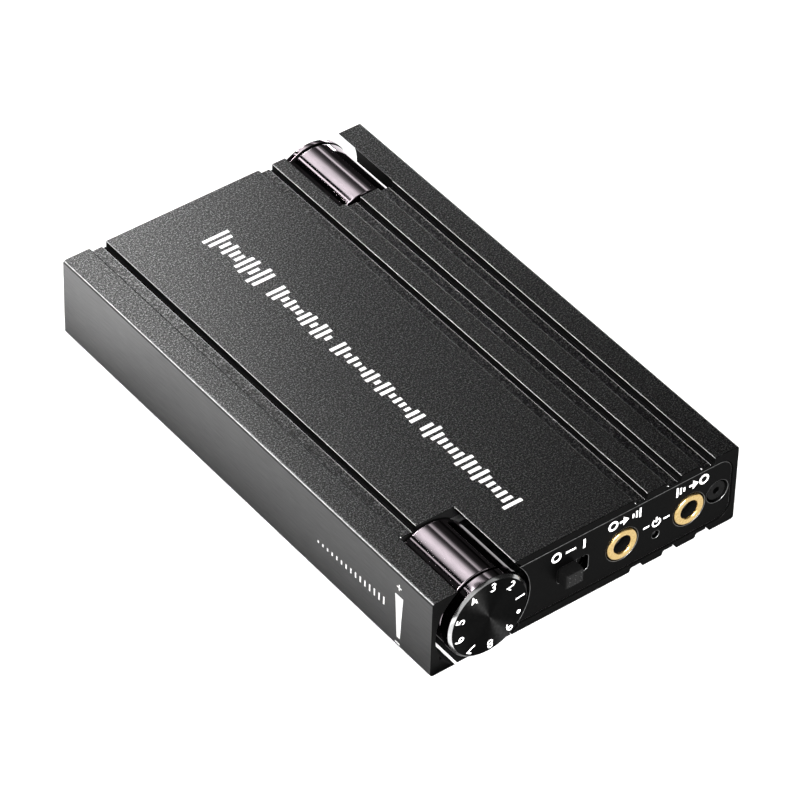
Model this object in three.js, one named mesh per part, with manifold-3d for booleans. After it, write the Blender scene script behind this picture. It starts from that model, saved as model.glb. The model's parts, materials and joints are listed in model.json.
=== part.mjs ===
// Pocket headphone amplifier: an extruded aluminium tube closed by a plate at each end, with a
// thumb-roller control standing in an open pocket at two opposite corners.
// Millimetres, +Z up. The origin is the centre of the underside, and the front faces -Y.
import * as THREE from 'three';
import { mergeVertices } from 'three/addons/utils/BufferGeometryUtils.js';
import Module from 'manifold-3d';

const wasm = await Module();
wasm.setup();

// ---------------------------------------------------------------- driving dimensions
const WIDTH = 65;
const LENGTH = 105.8;
const HEIGHT = 16.65;
const GAP = 0.3;                 // between pieces that meet
const MID_Z = HEIGHT / 2;

// tube walls
const SIDE_WALL = 1.8;
const RIB_WIDTH = 1.8;           // of the rib under the board, on each side wall
const TOP_WALL = 2.4;            // the floor is the same
const EDGE_RADIUS = 0.6;
const CAVITY_RADIUS = 2;

// lengthwise grooves, the same above and below: a shallow ledge with a deeper slit on one side
const LEDGE_DEPTH = 0.9;
const SLIT_DEPTH = 1.3;
const STEP_SEGMENTS = 4;         // in each of the two rounds that lead down to a ledge
// each groove: the middle of the step to its ledge, where the slit starts and where it ends
const GROOVES = [
  [5.8, 8.3, 9.1],
  [42.35, 44.5, 45.1],
  [49.4, 51.6, 52.45],
  [56.6, 58.8, 59.7],
];

// end plates, each let into a recess of the tube
const RECESS_DEPTH = 1.9;
const RIM_TOP = 1.65;
const RIM_SIDE = 1;
const RECESS_RADIUS = 3;
const PLATE_THICKNESS = 1.5;
const PLATE_INSET = 0.15;
const PLATE_GAP = 0.25;

// corner pocket and the control that stands in it, from the left edge and the front
const POCKET_X = 11;
const POCKET_RADIUS = 10.14;
const POCKET_DEPTH = 16.4;
const POCKET_FILLET = 0.4;
const OPENING_CHAMFER = 0.3;     // along the pocket's inner edge, above and below
const PLATE_CUT_RADIUS = 9.6;
const KNOB_X = 11.2;
const DIAL_RADIUS = 8.3;
const DIAL_PROUD = 1;
const DIAL_CHAMFER = 0.5;
const DIAL_BACK = 1.2;
const ROLLER_RADIUS = 8.15;
const ROLLER_FRONT = 1.8;
const ROLLER_BACK = 15.85;
const END_CAP_BACK = 0.1;        // the rear control has a thinner end cap than the dial
const HUB_RADIUS = 4;            // the dial's hub plugs into the roller
const HUB_END = 4.8;
const ROLLER_WEB = 1.2;          // between the hub's bore and the shaft's
const ROLLER_EDGE = 0.2;
const SHAFT_RADIUS = 3;
const SHAFT_CHAMFER = 0.4;
const SHAFT_END = POCKET_DEPTH + 4.5;
const POT_FRONT = POCKET_DEPTH + 1;
const POT_SIZE = [8.4, 7, 6.9];

// circuit board, slid into slots in the side walls
const BOARD_BOTTOM = 3.4;
const BOARD_TOP = 5;
const BOARD_EDGE = 2.1;
const BOARD_END = 2.2;
const NOTCH = [21.6, 17.1];      // the board is cut away this far behind a pocket
const PART_FLOOR = BOARD_TOP + GAP;

// screw channel along each side wall, whose underside is the roof of the board's slot
const BOSS_WIDTH = 4.8;
const BOSS_TOP = 11.25;
const SCREW_X = 60.9;
const SCREW_RECESS_RADIUS = 2.37;
const SCREW_RECESS_WALL = 0.35;  // straight part of the recess, above its cone
const SCREW_TOP = 0.45;
const SCREW_HEAD_RADIUS = 1.95;
const SCREW_HEAD_EDGE = 0.15;
const SCREW_HEAD_HEIGHT = 1.2;
const SCREW_SHANK_RADIUS = 0.9;
const SCREW_END = 8.4;
const SCREW_TIP = 0.4;
const SCREW_HOLE_END = 11;
const SOCKET_RADIUS = 0.75;
const SOCKET_DEPTH = 0.8;

// front panel
const JACKS = { line_out: 40.25, line_in: 54.75 };
const JACK_Z = 7.6;
const JACK_BORE = 1.8;           // for a 3.5 mm plug
const RING_RADIUS = 3.2;
const RING_PROUD = 0.1;
const RING_EDGE = 0.15;
const JACK_SIZE = [6.6, 11.8, 4.9];
const JACK_BACK_WALL = 1;
const LED_X = 47.6;
const LED_Z = 5.75;
const LED_HOLE = 0.8;
const LEVER = [26.7, 30.3, 6.4, 9.3];        // left, right, bottom, top
const LEVER_PROUD = 2;
const LEVER_TRAVEL = 2.4;
const LEVER_CLEARANCE = 0.3;
const LEVER_SLOT_RADIUS = 0.8;
const LEVER_NECK = 2;            // width and height of what reaches into the switch
const LEVER_END = 4;
const SWITCH_SIZE = [10.2, 4, 5.7];

// rear panel, from its own left edge as seen from behind
const USB_X = 34;
const USB_Z = 6.9;
const USB_OUTER = [8.94, 3.16];
const USB_WALL = 0.3;
const USB_DEPTH = 7.3;
const USB_BACK_WALL = 1;
const USB_TONGUE = [6.7, 0.7];
const USB_TONGUE_SETBACK = 0.7;
const CHARGE_LED_X = 43;

// battery and its connector: across from the left, along from the front, up from the base
const BATTERY = { x: [17, 49], y: [32, 80], z: [6.5, 12] };
const BATTERY_FOLD = 1;
const PAD = { x: [19, 47], y: [36, 76], z: [PART_FLOOR, BATTERY.z[0] - GAP] };
const PLUG = { x: [20, 26], y: [84.6, 87.4], z: [PART_FLOOR, 8.7] };
const SOCKET = { x: [19.4, 26.6], y: [87.7, 91.2], z: [PART_FLOOR, 9] };
const LEADS = { red: 21.6, black: 24.4 };
const LEAD_RADIUS = 0.6;
const LEAD_REACH = 2.5;          // how far it runs straight at each end
const LEAD_HEIGHTS = [9.2, 7];

// on the board: chip body and legs, standing capacitors in a row, inductor
const CHIPS = {
  headphone_driver_chip: [39.5, 17.6],
  bass_filter_chip: [54, 74],
  charger_chip: [36, 91],
};
const CHIP_SIZE = [4, 5, 1.5];
const CHIP_STAND = 0.1;
const LEG = { count: 4, reach: 1, width: 0.4, thickness: 0.4 };
const CAPACITOR_ROW = { first: 21.6, pitch: 7.6, count: 4, along: 25.5 };
const CAPACITOR = { radius: 3.1, top: 12.5, base: 6.6, baseHeight: 1 };
const INDUCTOR = { x: 11, y: 96, size: 6, height: 3, coilRadius: 2.4, coilHeight: 0.4 };

const FRONT = -LENGTH / 2;
const OVERRUN = 0.05;            // cutters run this far past the face that they cut
const THROUGH = 1;               // and this far where they go right through

// ---------------------------------------------------------------- helpers
const x = fromLeft => fromLeft - WIDTH / 2;
const y = fromFront => FRONT + fromFront;

// A closed geometry as a solid that can be joined and cut.
function solid(geometry) {
  const bare = geometry.clone();
  bare.deleteAttribute('normal');
  bare.deleteAttribute('uv');
  const merged = mergeVertices(bare, 1e-4);
  const vertProperties = new Float32Array(merged.attributes.position.array);
  const triVerts = new Uint32Array(merged.index.array);
  return new wasm.Manifold(new wasm.Mesh({ numProp: 3, vertProperties, triVerts }));
}

function geometryOf(manifold) {
  const mesh = manifold.getMesh();
  const geometry = new THREE.BufferGeometry();
  geometry.setAttribute('position', new THREE.BufferAttribute(mesh.vertProperties, 3));
  geometry.setIndex(new THREE.BufferAttribute(mesh.triVerts, 1));
  geometry.computeVertexNormals();
  return geometry;
}

function cut(geometry, cutters) {
  let result = solid(geometry);
  for (const cutter of cutters) {
    result = result.subtract(solid(cutter));
  }
  return geometryOf(result);
}

function join(geometries) {
  let result = solid(geometries[0]);
  for (const geometry of geometries.slice(1)) {
    result = result.add(solid(geometry));
  }
  return geometryOf(result);
}

// A width-height outline given depth along Y, from one distance behind the front to another.
function slab(shape, from, to, curveSegments = 6) {
  const settings = { depth: to - from, bevelEnabled: false, curveSegments };
  const geometry = new THREE.ExtrudeGeometry(shape, settings);
  geometry.rotateX(Math.PI / 2);
  geometry.translate(0, y(to), 0);
  return geometry;
}

// A plan outline given height.
function plate(shape, bottom, top) {
  const geometry = new THREE.ExtrudeGeometry(shape, { depth: top - bottom, bevelEnabled: false });
  geometry.translate(0, 0, bottom);
  return geometry;
}

// A block between two corners: across from the left edge, along from the front, up from the base.
function block([x0, x1], [y0, y1], [z0, z1]) {
  const geometry = new THREE.BoxGeometry(x1 - x0, y1 - y0, z1 - z0);
  geometry.translate(x((x0 + x1) / 2), y((y0 + y1) / 2), (z0 + z1) / 2);
  return geometry;
}

// A turned piece on an axis along Y: its profile holds [radius, distance behind the front].
function turned(profile, centreX, centreZ, segments) {
  const points = profile.map(([radius, along]) => new THREE.Vector2(radius, along));
  const geometry = new THREE.LatheGeometry(points, segments);
  geometry.translate(x(centreX), FRONT, centreZ);
  return geometry;
}

function rod(radius, centreX, centreZ, from, to, segments = 32) {
  const geometry = new THREE.CylinderGeometry(radius, radius, to - from, segments);
  geometry.translate(x(centreX), y((from + to) / 2), centreZ);
  return geometry;
}

// A round bar standing upright.
function upright(radius, centreX, centreY, bottom, top) {
  const geometry = new THREE.CylinderGeometry(radius, radius, top - bottom, 24);
  geometry.rotateX(Math.PI / 2);
  geometry.translate(x(centreX), y(centreY), (bottom + top) / 2);
  return geometry;
}

// A rectangle with round corners, from its edges.
function roundedRectangle(left, right, bottom, top, radius) {
  const shape = new THREE.Shape();
  shape.absarc(right - radius, bottom + radius, radius, -Math.PI / 2, 0);
  shape.absarc(right - radius, top - radius, radius, 0, Math.PI / 2);
  shape.absarc(left + radius, top - radius, radius, Math.PI / 2, Math.PI);
  shape.absarc(left + radius, bottom + radius, radius, Math.PI, Math.PI * 1.5);
  shape.closePath();
  return shape;
}

// A slot with nearly semicircular ends, about its centre.
function stadium(centreX, centreZ, width, height) {
  const flat = 0.02;             // what is left of the straight end
  const left = x(centreX) - width / 2;
  const bottom = centreZ - height / 2;
  return roundedRectangle(left, left + width, bottom, bottom + height, (height - flat) / 2);
}

// The same cutter at the opposite corner: the amplifier's ends are alike after half a turn.
const atRear = geometry => geometry.clone().rotateZ(Math.PI);

// ---------------------------------------------------------------- materials
const finishes = {
  anodised: { color: 0x17181a, roughness: 0.55, metalness: 0.6 },
  satin: { color: 0x0f0f10, roughness: 0.45, metalness: 0.5 },
  darkChrome: { color: 0x3a3437, roughness: 0.12, metalness: 1 },
  gold: { color: 0xc89a45, roughness: 0.25, metalness: 1 },
  steel: { color: 0xb8babd, roughness: 0.35, metalness: 1 },
  blackSteel: { color: 0x141414, roughness: 0.4, metalness: 0.8 },
  plastic: { color: 0x101010, roughness: 0.6, metalness: 0 },
  board: { color: 0x0e1110, roughness: 0.5, metalness: 0 },
  foil: { color: 0xc4c8cc, roughness: 0.4, metalness: 0.6 },
  foam: { color: 0x2a2a2c, roughness: 1, metalness: 0 },
  ferrite: { color: 0x3a3a3e, roughness: 0.7, metalness: 0.1 },
  lens: { color: 0xd8e2ea, roughness: 0.2, metalness: 0 },
  nylon: { color: 0xe6e2d4, roughness: 0.4, metalness: 0 },
  redWire: { color: 0x9c1a16, roughness: 0.5, metalness: 0 },
};

function piece(name, geometry, finish) {
  const mesh = new THREE.Mesh(geometry, new THREE.MeshStandardMaterial(finishes[finish]));
  mesh.name = name;
  return mesh;
}

// ---------------------------------------------------------------- casing
// A soft step down to a ledge: an outward round and an inward one that meet half way down.
function softStep(middle) {
  const radius = LEDGE_DEPTH / 2;
  const outward = [];
  const inward = [];
  for (let step = 0; step < STEP_SEGMENTS; step += 1) {
    const angle = (step / STEP_SEGMENTS) * Math.PI / 2;
    const across = radius * (1 - Math.sin(angle));
    const down = radius * (1 - Math.cos(angle));
    outward.push([middle - across, down]);
    inward.push([middle + across, LEDGE_DEPTH - down]);
  }
  return [...outward, [middle, radius], ...inward.toReversed()];
}

// One long face of the tube from left to right, as [from the left edge, depth below the face].
function groovedFace() {
  const points = [];
  for (const [middle, slit, end] of GROOVES) {
    points.push(...softStep(middle), [slit, LEDGE_DEPTH]);
    points.push([slit, SLIT_DEPTH], [end, SLIT_DEPTH], [end, 0]);
  }
  return points;
}

function tubeOutline() {
  const shape = new THREE.Shape();
  const half = WIDTH / 2;
  const inset = half - EDGE_RADIUS;
  const face = groovedFace();
  shape.absarc(-inset, EDGE_RADIUS, EDGE_RADIUS, Math.PI, Math.PI * 1.5);
  for (const [across, depth] of face) {
    shape.lineTo(x(across), depth);
  }
  shape.absarc(inset, EDGE_RADIUS, EDGE_RADIUS, -Math.PI / 2, 0);
  shape.absarc(inset, HEIGHT - EDGE_RADIUS, EDGE_RADIUS, 0, Math.PI / 2);
  for (const [across, depth] of face.toReversed()) {
    shape.lineTo(x(across), HEIGHT - depth);
  }
  shape.absarc(-inset, HEIGHT - EDGE_RADIUS, EDGE_RADIUS, Math.PI / 2, Math.PI);
  shape.closePath();
  return shape;
}

// The hollow of the tube: on each side a rib under the board and a screw channel over it.
function cavityOutline() {
  const half = WIDTH / 2 - SIDE_WALL;
  const rib = half - RIB_WIDTH;
  const boss = half - BOSS_WIDTH;
  const ribTop = BOARD_BOTTOM - GAP;
  const roof = HEIGHT - TOP_WALL;
  const centre = roof - CAVITY_RADIUS;
  const shape = new THREE.Shape();
  shape.moveTo(-rib, TOP_WALL);
  shape.lineTo(rib, TOP_WALL);
  shape.lineTo(rib, ribTop);
  shape.lineTo(half, ribTop);
  shape.lineTo(half, PART_FLOOR);
  shape.lineTo(boss, PART_FLOOR);
  shape.lineTo(boss, BOSS_TOP);
  shape.lineTo(half, BOSS_TOP);
  shape.absarc(half - CAVITY_RADIUS, centre, CAVITY_RADIUS, 0, Math.PI / 2);
  shape.absarc(CAVITY_RADIUS - half, centre, CAVITY_RADIUS, Math.PI / 2, Math.PI);
  shape.lineTo(-half, BOSS_TOP);
  shape.lineTo(-boss, BOSS_TOP);
  shape.lineTo(-boss, PART_FLOOR);
  shape.lineTo(-half, PART_FLOOR);
  shape.lineTo(-half, ribTop);
  shape.lineTo(-rib, ribTop);
  shape.closePath();
  return shape;
}

// The pocket is bored in from the end, and a fillet runs round its floor.
function makePocketCutter() {
  const profile = [[0, -OVERRUN], [POCKET_RADIUS, -OVERRUN]];
  const steps = 4;
  for (let step = 0; step <= steps; step += 1) {
    const angle = (step / steps) * Math.PI / 2;
    profile.push([
      POCKET_RADIUS - POCKET_FILLET * (1 - Math.cos(angle)),
      POCKET_DEPTH - POCKET_FILLET * (1 - Math.sin(angle)),
    ]);
  }
  profile.push([0, POCKET_DEPTH]);
  return turned(profile, POCKET_X, MID_Z, 72);
}

// A triangular prism along the pocket's sharp inner edge, in the top face (1) or the underside (-1).
function makeOpeningChamfer(side) {
  const halfOpening = Math.sqrt(POCKET_RADIUS ** 2 - MID_Z ** 2);
  const right = x(POCKET_X + halfOpening) + OPENING_CHAMFER + OVERRUN;
  const left = right - OPENING_CHAMFER * 2;
  const outer = MID_Z + (MID_Z + OVERRUN) * side;
  const inner = outer - OPENING_CHAMFER * 2 * side;
  const shape = new THREE.Shape();
  shape.moveTo(right, outer);
  shape.lineTo(left, outer);
  shape.lineTo(left, inner);
  shape.closePath();
  return slab(shape, -OVERRUN, POCKET_DEPTH);
}

function makeCasing() {
  const tube = slab(tubeOutline(), 0, LENGTH);
  const cavity = slab(cavityOutline(), -THROUGH, LENGTH + THROUGH, 4);
  const right = WIDTH / 2 - RIM_SIDE;
  const recessShape = roundedRectangle(x(POCKET_X), right, RIM_TOP, HEIGHT - RIM_TOP, RECESS_RADIUS);
  const recess = slab(recessShape, -OVERRUN, RECESS_DEPTH);
  const screwHole = rod(
    SCREW_SHANK_RADIUS + GAP, SCREW_X, MID_Z, RECESS_DEPTH - THROUGH, SCREW_HOLE_END, 16);
  const chamfers = [1, -1].map(makeOpeningChamfer);
  const front = [recess, makePocketCutter(), screwHole, ...chamfers];
  return piece('casing', cut(tube, [cavity, ...front, ...front.map(atRear)]), 'anodised');
}

// ---------------------------------------------------------------- end plates
function makeEndPlate(name, holes) {
  const left = x(POCKET_X);
  const right = WIDTH / 2 - RIM_SIDE - PLATE_GAP;
  const bottom = RIM_TOP + PLATE_GAP;
  const radius = RECESS_RADIUS - PLATE_GAP;
  const outline = roundedRectangle(left, right, bottom, HEIGHT - bottom, radius);
  const back = PLATE_INSET + PLATE_THICKNESS;
  const pocket = rod(PLATE_CUT_RADIUS, POCKET_X, MID_Z, -THROUGH, back + THROUGH, 72);
  const countersink = turned([
    [0, PLATE_INSET - OVERRUN],
    [SCREW_RECESS_RADIUS, PLATE_INSET - OVERRUN],
    [SCREW_RECESS_RADIUS, PLATE_INSET + SCREW_RECESS_WALL],
    [SCREW_SHANK_RADIUS + GAP, back + OVERRUN],
    [0, back + OVERRUN],
  ], SCREW_X, MID_Z, 32);
  const body = slab(outline, PLATE_INSET, back);
  return piece(name, cut(body, [pocket, countersink, ...holes]), 'satin');
}

function makeFrontPanel() {
  const back = PLATE_THICKNESS + THROUGH;
  const holes = Object.values(JACKS).map(
    centre => rod(RING_RADIUS + PLATE_GAP, centre, JACK_Z, -THROUGH, back, 40));
  holes.push(rod(LED_HOLE, LED_X, LED_Z, -THROUGH, back, 20));
  const [left, right, bottom, top] = LEVER;
  const slot = roundedRectangle(
    x(left - LEVER_CLEARANCE), x(right + LEVER_TRAVEL + LEVER_CLEARANCE),
    bottom - LEVER_CLEARANCE, top + LEVER_CLEARANCE, LEVER_SLOT_RADIUS);
  holes.push(slab(slot, -THROUGH, back));
  return makeEndPlate('front_panel', holes);
}

function makeRearPanel() {
  const back = PLATE_THICKNESS + THROUGH;
  const mouth = stadium(USB_X, USB_Z, USB_OUTER[0] + GAP * 2, USB_OUTER[1] + GAP * 2);
  const led = rod(LED_HOLE, CHARGE_LED_X, USB_Z, -THROUGH, back, 20);
  return makeEndPlate('rear_panel', [slab(mouth, -THROUGH, back), led]);
}

// A black countersunk screw with a hexagon socket, through the plate into the screw channel.
function makeScrew(name) {
  const body = turned([
    [0, SCREW_TOP],
    [SCREW_HEAD_RADIUS, SCREW_TOP],
    [SCREW_HEAD_RADIUS, SCREW_TOP + SCREW_HEAD_EDGE],
    [SCREW_SHANK_RADIUS, SCREW_TOP + SCREW_HEAD_HEIGHT],
    [SCREW_SHANK_RADIUS, SCREW_END - SCREW_TIP],
    [0, SCREW_END],
  ], SCREW_X, MID_Z, 24);
  const socket = rod(SOCKET_RADIUS, SCREW_X, MID_Z, 0, SCREW_TOP + SOCKET_DEPTH, 6);
  return piece(name, cut(body, [socket]), 'blackSteel');
}

// ---------------------------------------------------------------- controls
// The end of the roller that faces out: a chamfered disc with a hub that plugs into the roller.
function makeDial(name, back, finish) {
  const face = -DIAL_PROUD;
  return piece(name, turned([
    [0, face],
    [DIAL_RADIUS - DIAL_CHAMFER, face],
    [DIAL_RADIUS, face + DIAL_CHAMFER],
    [DIAL_RADIUS, back],
    [HUB_RADIUS, back],
    [HUB_RADIUS, HUB_END],
    [0, HUB_END],
  ], KNOB_X, MID_Z, 72), finish);
}

// The roller is bored from both ends, for the dial's hub and for the potentiometer's shaft.
function makeRoller(name, front) {
  const hubBore = HUB_END + GAP;
  const shaftBore = hubBore + ROLLER_WEB;
  return piece(name, turned([
    [0, hubBore],
    [HUB_RADIUS + GAP, hubBore],
    [HUB_RADIUS + GAP, front],
    [ROLLER_RADIUS - ROLLER_EDGE, front],
    [ROLLER_RADIUS, front + ROLLER_EDGE],
    [ROLLER_RADIUS, ROLLER_BACK - ROLLER_EDGE],
    [ROLLER_RADIUS - ROLLER_EDGE, ROLLER_BACK],
    [SHAFT_RADIUS + GAP, ROLLER_BACK],
    [SHAFT_RADIUS + GAP, shaftBore],
    [0, shaftBore],
  ], KNOB_X, MID_Z, 72), 'darkChrome');
}

function makeShaft(name) {
  const start = HUB_END + ROLLER_WEB + GAP * 2;
  return piece(name, turned([
    [0, start],
    [SHAFT_RADIUS - SHAFT_CHAMFER, start],
    [SHAFT_RADIUS, start + SHAFT_CHAMFER],
    [SHAFT_RADIUS, SHAFT_END],
    [0, SHAFT_END],
  ], KNOB_X, MID_Z, 32), 'steel');
}

function makePot(name) {
  const [width, depth, height] = POT_SIZE;
  const across = [KNOB_X - width / 2, KNOB_X + width / 2];
  const along = [POT_FRONT, POT_FRONT + depth];
  const body = block(across, along, [PART_FLOOR, PART_FLOOR + height]);
  const bore = rod(SHAFT_RADIUS + GAP, KNOB_X, MID_Z, POT_FRONT - THROUGH, SHAFT_END + GAP, 32);
  return piece(name, cut(body, [bore]), 'steel');
}

// ---------------------------------------------------------------- sockets, switch and lights
function makeJack(name, centre) {
  const [width, depth, height] = JACK_SIZE;
  const across = [centre - width / 2, centre + width / 2];
  const along = [BOARD_END, BOARD_END + depth];
  const body = block(across, along, [PART_FLOOR, PART_FLOOR + height]);
  const bore = rod(JACK_BORE, centre, JACK_Z, BOARD_END - THROUGH, BOARD_END + depth - JACK_BACK_WALL, 32);
  return piece(`${name}_jack`, cut(body, [bore]), 'plastic');
}

function makeRing(name, centre) {
  const face = -RING_PROUD;
  const back = BOARD_END - GAP;
  return piece(`${name}_ring`, turned([
    [JACK_BORE, face + RING_EDGE],
    [JACK_BORE + RING_EDGE, face],
    [RING_RADIUS - RING_EDGE, face],
    [RING_RADIUS, face + RING_EDGE],
    [RING_RADIUS, back],
    [JACK_BORE, back],
    [JACK_BORE, face + RING_EDGE],
  ], centre, JACK_Z, 40), 'gold');
}

function makeLever() {
  const [left, right, bottom, top] = LEVER;
  const centreX = (left + right) / 2;
  const centreZ = (bottom + top) / 2;
  const shoulder = PLATE_INSET + PLATE_THICKNESS;
  const head = block([left, right], [-LEVER_PROUD, shoulder], [bottom, top]);
  const neck = block(
    [centreX - LEVER_NECK / 2, centreX + LEVER_NECK / 2], [shoulder - GAP, LEVER_END],
    [centreZ - LEVER_NECK / 2, centreZ + LEVER_NECK / 2]);
  return piece('power_switch_lever', join([head, neck]), 'plastic');
}

function makeSwitch() {
  const [left, right, bottom, top] = LEVER;
  const [width, depth, height] = SWITCH_SIZE;
  const neckX = (left + right) / 2;
  const middle = neckX + LEVER_TRAVEL / 2;
  const neckZ = (bottom + top) / 2;
  const reach = LEVER_NECK / 2 + GAP;
  const across = [middle - width / 2, middle + width / 2];
  const body = block(across, [BOARD_END, BOARD_END + depth], [PART_FLOOR, PART_FLOOR + height]);
  const slot = block(
    [neckX - reach, neckX + LEVER_TRAVEL + reach], [BOARD_END - THROUGH, LEVER_END + GAP],
    [neckZ - reach, neckZ + reach]);
  return piece('power_switch', cut(body, [slot]), 'steel');
}

// A small light on the board, with a nose that reaches into the panel's hole.
function makeLed(name, centre, noseZ) {
  const noseRadius = 0.45;
  const noseTip = 0.6;
  const width = 2;
  const depth = 1.6;
  const nose = rod(noseRadius, centre, noseZ, noseTip, BOARD_END + depth / 2, 12);
  const across = [centre - width / 2, centre + width / 2];
  const body = block(across, [BOARD_END, BOARD_END + depth], [PART_FLOOR, noseZ + noseRadius + GAP]);
  return piece(name, join([body, nose]), 'lens');
}

function makeUsbShell() {
  const [width, height] = USB_OUTER;
  const front = GAP;
  const outer = slab(stadium(USB_X, USB_Z, width, height), front, front + USB_DEPTH, 8);
  const hollow = stadium(USB_X, USB_Z, width - USB_WALL * 2, height - USB_WALL * 2);
  const mouth = slab(hollow, front - THROUGH, front + USB_DEPTH - USB_BACK_WALL, 8);
  return piece('usb_c_shell', cut(outer, [mouth]), 'steel');
}

function makeUsbTongue() {
  const [width, thickness] = USB_TONGUE;
  const across = [USB_X - width / 2, USB_X + width / 2];
  const along = [GAP + USB_TONGUE_SETBACK, GAP + USB_DEPTH - USB_BACK_WALL - GAP];
  const tongue = block(across, along, [USB_Z - thickness / 2, USB_Z + thickness / 2]);
  return piece('usb_c_tongue', tongue, 'plastic');
}

// ---------------------------------------------------------------- board and battery
function makeBoard() {
  const half = WIDTH / 2 - BOARD_EDGE;
  const end = LENGTH / 2 - BOARD_END;
  const notchX = x(NOTCH[0]);
  const notchY = y(NOTCH[1]);
  const shape = new THREE.Shape();
  shape.moveTo(notchX, -end);
  shape.lineTo(half, -end);
  shape.lineTo(half, -notchY);
  shape.lineTo(-notchX, -notchY);
  shape.lineTo(-notchX, end);
  shape.lineTo(-half, end);
  shape.lineTo(-half, notchY);
  shape.lineTo(notchX, notchY);
  shape.closePath();
  return piece('main_board', plate(shape, BOARD_BOTTOM, BOARD_TOP), 'board');
}

// A foil pouch whose long edges are folded over.
function makeBattery() {
  const [left, right] = BATTERY.x.map(x);
  const [bottom, top] = BATTERY.z;
  const shape = new THREE.Shape();
  shape.moveTo(left, bottom + BATTERY_FOLD);
  shape.lineTo(left + BATTERY_FOLD, bottom);
  shape.lineTo(right - BATTERY_FOLD, bottom);
  shape.lineTo(right, bottom + BATTERY_FOLD);
  shape.lineTo(right, top - BATTERY_FOLD);
  shape.lineTo(right - BATTERY_FOLD, top);
  shape.lineTo(left + BATTERY_FOLD, top);
  shape.lineTo(left, top - BATTERY_FOLD);
  shape.closePath();
  return piece('battery_cell', slab(shape, ...BATTERY.y), 'foil');
}

// One insulated lead: straight out of the battery's end, then down into the back of the plug.
function makeLead(name, across, finish) {
  const start = new THREE.Vector3(x(across), y(BATTERY.y[1] + GAP), LEAD_HEIGHTS[0]);
  const end = new THREE.Vector3(x(across), y(PLUG.y[0] - GAP), LEAD_HEIGHTS[1]);
  const afterStart = start.clone().setY(start.y + LEAD_REACH);
  const beforeEnd = end.clone().setY(end.y - LEAD_REACH);
  const section = new THREE.Shape();
  section.absarc(0, 0, LEAD_RADIUS, 0, Math.PI * 2);
  const extrudePath = new THREE.CubicBezierCurve3(start, afterStart, beforeEnd, end);
  const settings = { extrudePath, steps: 10, curveSegments: 8 };
  return piece(name, new THREE.ExtrudeGeometry(section, settings), finish);
}

// A chip with a row of legs down each long side, as one moulding.
function makeChip(name, [centreX, centreY]) {
  const [width, length, height] = CHIP_SIZE;
  const across = [centreX - width / 2, centreX + width / 2];
  const along = [centreY - length / 2, centreY + length / 2];
  const bottom = PART_FLOOR + CHIP_STAND;
  const parts = [block(across, along, [bottom, bottom + height])];
  const span = [across[0] - LEG.reach, across[1] + LEG.reach];
  const pitch = length / LEG.count;
  for (let leg = 0; leg < LEG.count; leg += 1) {
    const middle = along[0] + pitch * (leg + 0.5);
    const sides = [middle - LEG.width / 2, middle + LEG.width / 2];
    parts.push(block(span, sides, [PART_FLOOR, PART_FLOOR + LEG.thickness]));
  }
  return piece(name, join(parts), 'plastic');
}

// A round can standing on a square base.
function makeCapacitor(name, centreX, centreY) {
  const half = CAPACITOR.base / 2;
  const baseTop = PART_FLOOR + CAPACITOR.baseHeight;
  const across = [centreX - half, centreX + half];
  const base = block(across, [centreY - half, centreY + half], [PART_FLOOR, baseTop]);
  const can = upright(CAPACITOR.radius, centreX, centreY, PART_FLOOR + GAP, CAPACITOR.top);
  return piece(name, join([base, can]), 'foil');
}

function makeInductor() {
  const half = INDUCTOR.size / 2;
  const top = PART_FLOOR + INDUCTOR.height;
  const across = [INDUCTOR.x - half, INDUCTOR.x + half];
  const core = block(across, [INDUCTOR.y - half, INDUCTOR.y + half], [PART_FLOOR, top]);
  const coil = upright(
    INDUCTOR.coilRadius, INDUCTOR.x, INDUCTOR.y, PART_FLOOR + GAP, top + INDUCTOR.coilHeight);
  return piece('boost_inductor', join([core, coil]), 'ferrite');
}

function makeInside(group) {
  group.add(makeBoard());
  group.add(piece('battery_pad', block(PAD.x, PAD.y, PAD.z), 'foam'));
  group.add(makeBattery());
  group.add(makeLead('battery_lead_red', LEADS.red, 'redWire'));
  group.add(makeLead('battery_lead_black', LEADS.black, 'plastic'));
  group.add(piece('battery_plug', block(PLUG.x, PLUG.y, PLUG.z), 'nylon'));
  group.add(piece('battery_socket', block(SOCKET.x, SOCKET.y, SOCKET.z), 'nylon'));
  for (let place = 0; place < CAPACITOR_ROW.count; place += 1) {
    const centreX = CAPACITOR_ROW.first + CAPACITOR_ROW.pitch * place;
    group.add(makeCapacitor(`coupling_capacitor_${place + 1}`, centreX, CAPACITOR_ROW.along));
  }
  for (const [name, centre] of Object.entries(CHIPS)) {
    group.add(makeChip(name, centre));
  }
  group.add(makeInductor());
}

// ---------------------------------------------------------------- assembly
const amplifier = new THREE.Group();
amplifier.add(makeCasing());

const frontEnd = new THREE.Group();
frontEnd.add(makeFrontPanel());
frontEnd.add(makeScrew('front_screw'));
frontEnd.add(makeDial('volume_dial', DIAL_BACK, 'satin'));
frontEnd.add(makeRoller('volume_roller', ROLLER_FRONT));
frontEnd.add(makeShaft('volume_shaft'));
frontEnd.add(makePot('volume_pot'));
for (const [name, centre] of Object.entries(JACKS)) {
  frontEnd.add(makeJack(name, centre));
  frontEnd.add(makeRing(name, centre));
}
frontEnd.add(makeSwitch());
frontEnd.add(makeLever());
frontEnd.add(makeLed('power_led', LED_X, LED_Z));
amplifier.add(frontEnd);

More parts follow.
